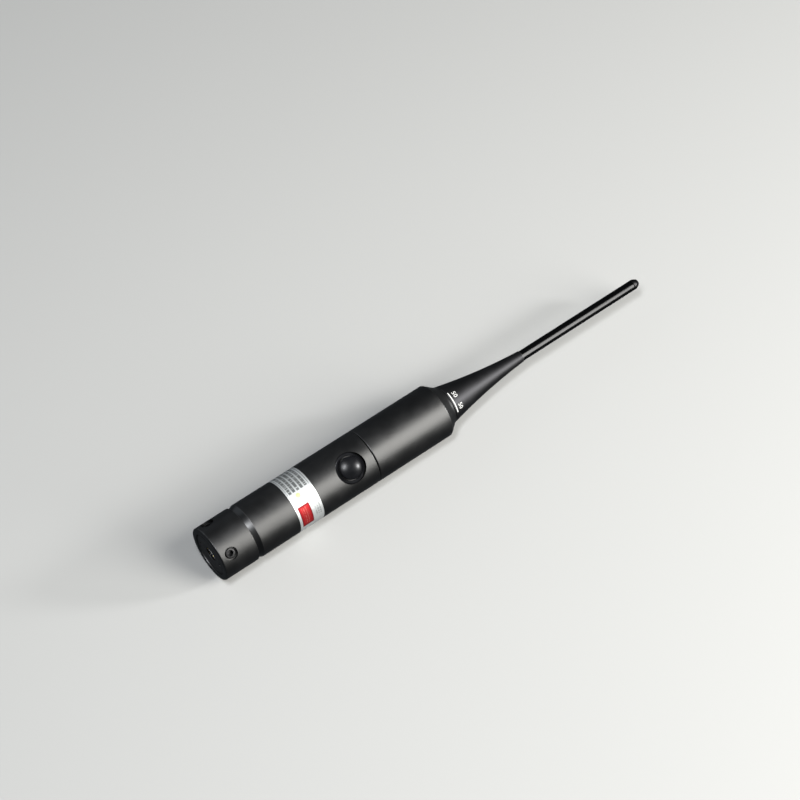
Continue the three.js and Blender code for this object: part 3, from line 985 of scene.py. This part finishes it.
class BORESIGHTER_OT_cone(bpy.types.Operator):
    """Calibre cone with its printed ring mark and numerals"""

    bl_idname = "boresighter.cone"
    bl_label = "Calibre Cone"

    def execute(self, context):
        cone = settings("cone")
        start = REAR_END + 0.3
        rod_bore = half_height("mandrel_rod") + 0.06
        steps = 24
        stud, shim, shim_start = 3.05, 7.3, REAR_END + 0.03
        rod_hole_end = 118.0
        side = []
        for i in range(steps + 1):
            side.append((start + (CONE_TIP - start) * i / steps, cone_radius(cone, i / steps)))
        outline = [
            (span("calibre_cone")[0], 0),
            (span("calibre_cone")[0], stud, 0.2),
            (shim_start, stud),
            (shim_start, shim),
            (start, shim),
            (side[0][0], side[0][1], 0.22),
            *side[1:-1],
            (side[-1][0], side[-1][1], 0.08),
            (CONE_TIP, rod_bore),
            (rod_hole_end, rod_bore),
            (rod_hole_end, 0),
        ]
        piece = mesh_object("cone", turned(outline, 128))
        finish_piece(piece, cone_black, "rear_section", "calibre_cone", sharp=40)
        self.make_mark(cone, start)
        for angle in (30.5, 71.0):
            self.make_numerals(cone, start, angle)
        return {"FINISHED"}

    def surface(self, cone, start, station):
        return cone_radius(cone, (station - start) / (CONE_TIP - start))

    def make_mark(self, cone, start):
        """A printed arc, a hair thicker than the surface it lies on."""
        first, last, width, ink = 18.0, 84.0, 0.42, 0.02
        low, high = cone.mark_station - width / 2, cone.mark_station + width / 2
        bm = bmesh.new()
        corners = [
            (low, self.surface(cone, start, low) - ink),
            (low, self.surface(cone, start, low) + ink),
            (high, self.surface(cone, start, high) + ink),
            (high, self.surface(cone, start, high) - ink),
        ]
        bm.faces.new([bm.verts.new((station, -radius, 0)) for station, radius in corners])
        to_first = Matrix.Rotation(-math.radians(first), 3, "X")
        bmesh.ops.rotate(bm, cent=(0, 0, 0), matrix=to_first, verts=bm.verts)
        bmesh.ops.spin(bm, geom=bm.faces[:], axis=-LONG_AXIS, angle=math.radians(last - first), steps=48)
        bmesh.ops.recalc_face_normals(bm, faces=bm.faces)
        finish_piece(mesh_object("calibre_ring_mark", bm), printed_ink, "rear_section")

    def make_numerals(self, cone, start, angle):
        """Generic calibre numerals, wrapped on the cone."""
        curve = bpy.data.curves.new("numerals", "FONT")
        curve.body = "50"
        size_of_capital = 1.35
        curve.size = cone.numeral_height * size_of_capital
        curve.align_x = "CENTER"
        curve.align_y = "CENTER"
        curve.resolution_u = 3
        bm = drawn_shape(curve)
        extruded = bmesh.ops.extrude_face_region(bm, geom=bm.faces[:])
        for vert in (item for item in extruded["geom"] if isinstance(item, bmesh.types.BMVert)):
            vert.co.z = 1.0
        gap = 1.15
        centre = cone.mark_station + gap + cone.numeral_height / 2
        ink = 0.02
        for vert in bm.verts:
            station = centre + vert.co.y
            radius = self.surface(cone, start, station) + (ink if vert.co.z > 0.5 else -ink)
            turn = math.radians(angle) - vert.co.x / self.surface(cone, start, centre)
            vert.co = Vector((station, -radius * math.cos(turn), radius * math.sin(turn)))
        bmesh.ops.recalc_face_normals(bm, faces=bm.faces)
        piece = mesh_object(f"calibre_numerals_{round(angle)}", bm)
        finish_piece(piece, printed_ink, "rear_section")


class BORESIGHTER_OT_mandrel(bpy.types.Operator):
    """Mandrel rod and the slotted screw in its end"""

    bl_idname = "boresighter.mandrel"
    bl_label = "Mandrel"

    def execute(self, context):
        start, end = span("mandrel_rod")
        radius = half_height("mandrel_rod")
        hole, hole_end = 1.3, 194.0
        side = [(start, 0), (start, radius, 0.2), (end, radius, 0.12)]
        outline = [*side, (end, hole, 0.05), (hole_end, hole), (hole_end, 0)]
        rod = mesh_object("rod", turned(outline, 72, longest=6.0))
        finish_piece(rod, rod_steel, "rear_section", "mandrel_rod")
        radial_normals(rod)
        shank, shank_start, head = 1.15, span("arbor_screw")[0], end + 0.2
        outline = [
            (shank_start, 0),
            (shank_start, shank, 0.2),
            (head, shank),
            (head, radius, 0.08),
            (head + 1.0, radius, 0.25),
            (TIP_END, 1.3, 0.12),
            (TIP_END, 0),
        ]
        screw = mesh_object("tip_screw", turned(outline, 72))
        carve(screw, block((1.6, 6, 0.6), (TIP_END, 0, 0)))
        finish_piece(screw, oxide_steel, "arbor_screw_body", "arbor_screw")
        return {"FINISHED"}


class BORESIGHTER_OT_laser_module(bpy.types.Operator):
    """Brass barrel with its lens, diode and driver board, held by a rubber ring"""

    bl_idname = "boresighter.laser_module"
    bl_label = "Laser Module"

    def execute(self, context):
        self.make_barrel()
        self.make_optics()
        self.make_diode()
        self.make_driver()
        rubber_ring("pivot_ring_seal", "pivot_ring", "pivot_o_ring")
        return {"FINISHED"}

    def make_barrel(self):
        start, end = span("module_barrel")
        outer = half_height("module_barrel")
        bore, groove = 4.7, 0.12
        middle = (start + end) / 2
        outline = [
            (start, bore, 0.15),
            (start, outer, 0.4),
            (middle - 0.6, outer, 0.05),
            (middle - 0.4, outer - groove, 0.05),
            (middle + 0.4, outer - groove, 0.05),
            (middle + 0.6, outer, 0.05),
            (end, outer, 0.4),
            (end, bore, 0.15),
        ]
        turned_piece("barrel", outline, brass, "laser_module", "module_barrel", around=96)

    def make_optics(self):
        start, end = span("lens_retainer")
        outer, opening = half_height("lens_retainer"), 2.2
        outline = [(start, opening + 0.6, 0.1), (start, outer, 0.15), (end, outer, 0.1), (end, opening, 0.1)]
        retainer = mesh_object("lens_ring", turned(outline, 72))
        carve(retainer, block((1.0, 2 * outer + 1, 0.9), (start, 0, 0)))
        finish_piece(retainer, bezel_black, "laser_module", "lens_retainer")

        apex, back = span("collimating_lens")
        radius, bulge = half_height("collimating_lens"), 1.2
        sphere = (radius**2 + bulge**2) / (2 * bulge)
        steps = 12
        face = []
        for i in range(steps + 1):
            angle = math.asin(radius / sphere) * i / steps
            face.append((apex + sphere * (1 - math.cos(angle)), sphere * math.sin(angle)))
        outline = [*face, (back, radius, 0.15), (back, 0)]
        turned_piece("lens", outline, clear_glass, "laser_module", "collimating_lens")

        spring = coil(8.8, 13.1, 3.9, 3.9, 4, 0.25)
        spring_piece("lens_pusher", spring, "laser_module", "lens_spring")

    def make_diode(self):
        front, flange, back, pin_end = 12.6, 16.4, 17.6, span("laser_diode")[1]
        can_radius, flange_radius, window_radius = 2.35, 2.8, 0.8
        outline = [
            (front + 0.4, 0),
            (front + 0.4, window_radius),
            (front, window_radius, 0.05),
            (front, can_radius, 0.2),
            (flange, can_radius, 0.1),
            (flange, flange_radius, 0.08),
            (back, flange_radius, 0.08),
            (back, 0),
        ]
        can = mesh_object("diode_can", turned(outline, 72))
        notches = []
        for turn in (0, 1, 2):
            notch = block((3, 0.5, 0.5), ((flange + back) / 2, 0, flange_radius))
            turning = Matrix.Rotation(FULL_TURN * turn / 4, 3, "X")
            bmesh.ops.rotate(notch, cent=(0, 0, 0), matrix=turning, verts=notch.verts)
            notches.append(notch)
        carve(can, merged(*notches))
        finish_piece(can, nickel, "laser_module", "laser_diode")
        window = disc(front + 0.15, front + 0.38, window_radius - 0.02)
        turned_piece("diode_window", window, clear_glass, "laser_module")

        pins = []
        for turn in (0, 1, 2):
            pin = turned([(back - 0.2, 0), (back - 0.2, 0.25), (pin_end, 0.25, 0.08), (pin_end, 0)], 16)
            angle = FULL_TURN * turn / 3
            bmesh.ops.translate(pin, vec=(0, 1.3 * math.sin(angle), 1.3 * math.cos(angle)), verts=pin.verts)
            pins.append(pin)
        joined_piece("diode_pins", pins, nickel, "laser_module")

        start, end = span("diode_holder")
        outer = half_height("diode_holder")
        outline = [
            (start, 2.5, 0.1),
            (start, outer, 0.25),
            (end, outer, 0.25),
            (end, 2.95, 0.1),
            (flange - 0.2, 2.95),
            (flange - 0.2, 2.5, 0.05),
        ]
        turned_piece("diode_seat", outline, brass, "laser_module", "diode_holder")

    def make_driver(self):
        start, end = span("driver_board")
        middle, top = (start + end) / 2, -0.5
        board = block((end - start, 8, 1.0), (middle, 0, top - 0.5), 0.08)
        joined_piece("driver_plate", [board], board_green, "laser_module", "driver_board")

        chip = block((3, 2.4, 0.9), (middle - 2, 0, top + 0.5), 0.08)
        resistor_rows = (-2.6, -1.3, 0.0)
        resistors = [block((1.0, 0.7, 0.35), (middle + 0.6, y, top + 0.18), 0.04) for y in resistor_rows]
        joined_piece("driver_chip", [chip, *resistors], black_plastic, "laser_module")
        capacitor = block((1.7, 1.4, 1.0), (middle + 2.2, 1.8, top + 0.5), 0.1)
        joined_piece("driver_capacitor", [capacitor], ceramic, "laser_module")

        leads = []
        for side in (-1, 1):
            for leg in range(4):
                place = (middle - 3.1 + 0.74 * leg, side * 1.45, top + 0.1)
                leads.append(block((0.35, 0.7, 0.2), place, 0.04))
            for y in resistor_rows:
                leads.append(block((0.3, 0.74, 0.37), (middle + 0.6 + side * 0.52, y, top + 0.18), 0.04))
            leads.append(block((0.35, 1.44, 1.04), (middle + 2.2 + side * 0.75, 1.8, top + 0.5), 0.08))
            leads.append(self.blob(end - 0.9, side * 2.2, top))
        for y in (-1.3, 0.0, 1.3):
            leads.append(self.blob(start + 0.6, y, top))
        joined_piece("driver_solder", leads, solder, "laser_module")

        trimmer = turned([(0, 0), (0, 0.85, 0.1), (0.7, 0.85, 0.12), (0.7, 0)], 32)
        upright = Matrix.Rotation(-math.pi / 2, 3, "Y")
        bmesh.ops.rotate(trimmer, cent=(0, 0, 0), matrix=upright, verts=trimmer.verts)
        bmesh.ops.translate(trimmer, vec=(middle + 2.6, -2.0, top), verts=trimmer.verts)
        dial = mesh_object("driver_trimmer", trimmer)
        carve(dial, block((1.3, 0.25, 0.4), (middle + 2.6, -2.0, top + 0.7)))
        finish_piece(dial, brass, "laser_module")

    def blob(self, station, side, height):
        """A flattened drop of solder."""
        bm = bmesh.new()
        bmesh.ops.create_uvsphere(bm, u_segments=20, v_segments=12, radius=0.55)
        bmesh.ops.scale(bm, vec=(1, 1, 0.6), verts=bm.verts)
        bmesh.ops.translate(bm, vec=(station, side, height), verts=bm.verts)
        return bm


def spring_piece(name, bm, body, node):
    finish_piece(mesh_object(name, bm), spring_wire, body, node, sharp=50)


class BORESIGHTER_OT_switch(bpy.types.Operator):
    """Switch under the button, on its board, and the two lead wires"""

    bl_idname = "boresighter.switch"
    bl_label = "Switch"

    def execute(self, context):
        low, high, case_low, case_high, cover = 0.3, 1.5, 1.6, 4.6, 5.0
        plate = self.stood(block((15.5, 10, high - low), (0, 0, (low + high) / 2), 0.1))
        joined_piece("switch_plate", [plate], board_green, "front_section", "switch_board")

        case = block((6, 6, case_high - case_low), (0, 0, (case_low + case_high) / 2), 0.15)
        lid = block((5.7, 5.7, 0.35), (0, 0, 4.8), 0.06)
        for name, shape, hole, finish, nodes in (
            ("switch_case", case, 1.9, black_plastic, ["tact_switch"]),
            ("switch_lid", lid, 1.95, nickel, []),
        ):
            piece = mesh_object(name, self.stood(shape))
            carve(piece, aim(prism(48, hole, 3.6, 8), BUTTON_STATION, BUTTON_OUT))
            finish_piece(piece, finish, "front_section", *nodes)

        metal = []
        for x in (-1, 1):
            for y in (-1, 1):
                metal.append(self.stood(block((0.9, 0.7, 0.25), (x * 3.4, y * 2.25, high + 0.12), 0.05)))
                metal.append(self.stood(block((0.25, 0.7, 1.6), (x * 3.12, y * 2.25, high + 0.8), 0.05)))
                rivet = block((0.5, 0.5, 0.2), (x * 2.3, y * 2.3, cover), 0.08)
                metal.append(self.stood(rivet))
        joined_piece("switch_legs", metal, solder, "front_section")

        tip, foot = 6.2, 4.6
        outline = [(foot, 0), (foot, 1.75, 0.1), (tip, 1.75, 0.3), (tip, 0)]
        plunger = mesh_object("plunger", aim(turned(outline, 64), BUTTON_STATION, BUTTON_OUT))
        finish_piece(plunger, black_plastic, "button", "switch_plunger")

        self.make_wire("red_lead", 1, red_cover, "lead_wire_red")
        self.make_wire("black_lead", -1, black_cover, "lead_wire_black")
        return {"FINISHED"}

    def stood(self, bm):
        return lay(bm, BUTTON_STATION, BUTTON_OUT)

    def make_wire(self, name, side, finish, node):
        """An insulated lead from the driver board to the switch board."""
        route = ((31.4, 2, -0.6), (36, 4, 0), (42, 5, 2), (48, 4, 1), (52.3, 2.5, 0.2))
        curve = bpy.data.curves.new(name, "CURVE")
        curve.dimensions = "3D"
        curve.bevel_depth = 0.5
        curve.bevel_resolution = 4
        curve.use_fill_caps = True
        curve.resolution_u = 16
        spline = curve.splines.new("BEZIER")
        spline.bezier_points.add(len(route) - 1)
        for point, (station, across, up) in zip(spline.bezier_points, route):
            point.co = (station, side * across, up)
            point.handle_left_type = point.handle_right_type = "AUTO"
        finish_piece(mesh_object(name, drawn_shape(curve)), finish, "front_section", node)


class BORESIGHTER_OT_contacts(bpy.types.Operator):
    """Front battery contact: board, retaining ring and spring"""

    bl_idname = "boresighter.contacts"
    bl_label = "Front Contact"

    def execute(self, context):
        start, end = span("contact_board")
        outer = half_height("contact_board")
        outline = disc(start, end, outer, 0.08)
        turned_piece("contact_disc", outline, board_green, "front_section", "contact_board")
        pad, track, foil = 2.0, (5.2, 6.1), 0.06
        rings = [
            turned([(end, 0), (end, pad), (end + foil, pad, 0.02), (end + foil, 0)], 64),
            turned([(end, track[0]), (end, track[1]), (end + foil, track[1]), (end + foil, track[0])], 72),
        ]
        joined_piece("contact_pads", rings, brass, "front_section")

        start, end = span("contact_retainer")
        outer = half_height("contact_retainer")
        outline = [(start, 6.2, 0.08), (start, outer, 0.15), (end, outer, 0.2), (end, 6.2, 0.15)]
        retainer = mesh_object("contact_ring", turned(outline, 96))
        carve(retainer, block((1.2, 2 * outer + 1, 1.4), (end, 0, 0)))
        finish_piece(retainer, brass, "front_section", "contact_retainer")
        spring_piece("contact_coil", coil(74.3, 77.8, 3.0, 1.6, 3, 0.3), "front_section", "contact_spring")
        return {"FINISHED"}


class BORESIGHTER_OT_batteries(bpy.types.Operator):
    """Three button cells in an insulating sleeve, and the rear contact spring"""

    bl_idname = "boresighter.batteries"
    bl_label = "Batteries"

    def execute(self, context):
        start, end = span("battery_sleeve")
        outer = half_height("battery_sleeve")
        inner = outer - 0.7
        outline = [(start, inner, 0.1), (start, outer, 0.2), (end, outer, 0.2), (end, inner, 0.1)]
        sleeve = mesh_object("cell_sleeve", turned(outline, 96))
        carve(sleeve, block((end - start + 1, 0.4, 2.5), ((start + end) / 2, 0, outer)))
        finish_piece(sleeve, black_plastic, "battery_stack", "battery_sleeve")
        for number in (1, 2, 3):
            self.make_cell(number)
        spring_piece("rear_coil", coil(95.2, 102.6, 2.6, 5.4, 5, 0.35), "battery_stack", "battery_spring")
        return {"FINISHED"}

    def make_cell(self, number):
        """A crimped can round a smaller cap, with a sealing ring between them."""
        node = f"battery_cell_{number}"
        start, end = span(node)
        outer = half_height(node)
        cap, gasket, rim = 4.6, 5.1, start + 0.9
        outline = [
            (start, 0),
            (start, cap, 0.25),
            (rim + 0.3, cap + 0.1),
            (rim + 0.3, gasket),
            (rim, gasket, 0.1),
            (rim, outer, 0.35),
            (end, outer, 0.5),
            (end, 4.9, 0.1),
            (end - 0.1, 4.7, 0.1),
            (end - 0.1, 0),
        ]
        turned_piece(f"cell_{number}", outline, nickel, "battery_stack", node, around=96)
        seal = [
            (rim + 0.29, cap + 0.12),
            (rim + 0.29, gasket - 0.02),
            (rim - 0.05, gasket - 0.02, 0.08),
            (rim - 0.05, cap + 0.12, 0.08),
        ]
        turned_piece(f"cell_{number}_seal", seal, black_plastic, "battery_stack")


class BORESIGHTER_OT_stage(bpy.types.Operator):
    """Pale floor, soft lights and the camera"""

    bl_idname = "boresighter.stage"
    bl_label = "Stage"

    def execute(self, context):
        self.make_floor()
        self.make_lights(context)
        self.make_camera(context)
        return {"FINISHED"}

    def make_floor(self):
        bm = bmesh.new()
        bmesh.ops.create_grid(bm, x_segments=1, y_segments=1, size=3)
        mesh = bpy.data.meshes.new("floor")
        bm.to_mesh(mesh)
        bm.free()
        floor = bpy.data.objects.new("floor", mesh)
        bpy.context.scene.collection.objects.link(floor)
        floor.location.z = -0.2 * MM
        pale = (0.45, 0.45, 0.44)
        material = new_material("floor", Base_Color=pale, Roughness=0.9, Specular_IOR_Level=0.0)[0]
        mesh.materials.append(material)
        floor.visible_glossy = False

    def make_lights(self, context):
        window = self.area_light("window", (0.40, -0.737, 0.545), (0.5, 1.0), 17.0, (1.0, 0.985, 0.94))
        self.area_light("low_lamp", (0.80, -0.515, 0.318), (0.14, 0.14), 7.0, (1.0, 1.0, 1.0))
        self.area_light("high_lamp", (-0.325, -0.226, 0.917), (0.16, 0.34), 6.5, (0.95, 0.97, 1.0))
        self.area_light("back_fill", (-0.45, 0.80, 0.40), (1.2, 0.8), 1.6, (0.85, 0.92, 1.0))
        self.flag(window, bpy.data.objects["button_dome"], bpy.data.objects["button_collar"])
        world = bpy.data.worlds.new("studio")
        world.use_nodes = True
        world.node_tree.nodes["Background"].inputs["Color"].default_value = (0.80, 0.90, 1.0, 1)
        world.node_tree.nodes["Background"].inputs["Strength"].default_value = 0.08
        context.scene.world = world
        context.scene.view_settings.view_transform = "Standard"

    def area_light(self, name, direction, size, power, tint):
        """A soft rectangular lamp a metre away, facing the origin; its length lies along the tube's side."""
        data = bpy.data.lights.new(name, "AREA")
        data.shape = "RECTANGLE"
        data.size, data.size_y = size
        data.energy = power
        data.color = tint
        light = bpy.data.objects.new(name, data)
        light.location = Vector(direction).normalized()
        light.rotation_euler = Vector(direction).to_track_quat("Z", "Y").to_euler()
        bpy.context.scene.collection.objects.link(light)
        return light

    def flag(self, light, *pieces):
        """Keeps a lamp's light off a few pieces, as a small black card in front of them would."""
        flagged = bpy.data.collections.new(light.name + "_flag")
        for piece in pieces:
            flagged.objects.link(piece)
        for entry in flagged.collection_objects:
            entry.light_linking.link_state = "EXCLUDE"
        light.light_linking.receiver_collection = flagged

    def make_camera(self, context):
        azimuth, elevation, roll = (math.radians(angle) for angle in (35.723, 53.238, -2.331))
        aim_point, distance, lens = Vector((-5.788, 12.455, 11.0)) * MM, 878.83 * MM, 103.52
        level_part = math.cos(elevation)
        forward = Vector(
            (level_part * math.sin(azimuth), level_part * math.cos(azimuth), -math.sin(elevation))
        )
        data = bpy.data.cameras.new("camera")
        data.lens = lens
        data.clip_start = 0.01
        camera = bpy.data.objects.new("camera", data)
        level = forward.to_track_quat("-Z", "Y").to_matrix()
        turn = (level @ Matrix.Rotation(roll, 3, "Z")).to_4x4()
        camera.matrix_world = Matrix.Translation(aim_point - forward * distance) @ turn
        context.scene.collection.objects.link(camera)
        context.scene.camera = camera


PIECES = (
    BORESIGHTER_OT_front_section,
    BORESIGHTER_OT_label,
    BORESIGHTER_OT_aiming_screws,
    BORESIGHTER_OT_button,
    BORESIGHTER_OT_rear_section,
    BORESIGHTER_OT_cone,
    BORESIGHTER_OT_mandrel,
    BORESIGHTER_OT_laser_module,
    BORESIGHTER_OT_switch,
    BORESIGHTER_OT_contacts,
    BORESIGHTER_OT_batteries,
    BORESIGHTER_OT_stage,
)


class BORESIGHTER_PT_panel(bpy.types.Panel):
    """Lists the pieces in the sidebar"""

    bl_idname = "BORESIGHTER_PT_panel"
    bl_label = "Laser Boresighter"
    bl_space_type = "VIEW_3D"
    bl_region_type = "UI"
    bl_category = "Boresighter"

    def draw(self, context):
        column = self.layout.column()
        for piece in PIECES:
            column.operator(piece.bl_idname)


SETTINGS = {"tube": TubeSettings, "button": ButtonSettings, "cone": ConeSettings, "finish": FinishSettings}
CLASSES = (*SETTINGS.values(), *PIECES, BORESIGHTER_PT_panel)


def register():
    for item in CLASSES:
        bpy.utils.register_class(item)
    for name, group in SETTINGS.items():
        setattr(bpy.types.Scene, "boresighter_" + name, PointerProperty(type=group))


def unregister():
    for name in SETTINGS:
        delattr(bpy.types.Scene, "boresighter_" + name)
    for item in reversed(CLASSES):
        bpy.utils.unregister_class(item)


def main():
    register()
    for piece in PIECES:
        category, name = piece.bl_idname.split(".")
        getattr(getattr(bpy.ops, category), name)()


if __name__ == "__main__":
    main()
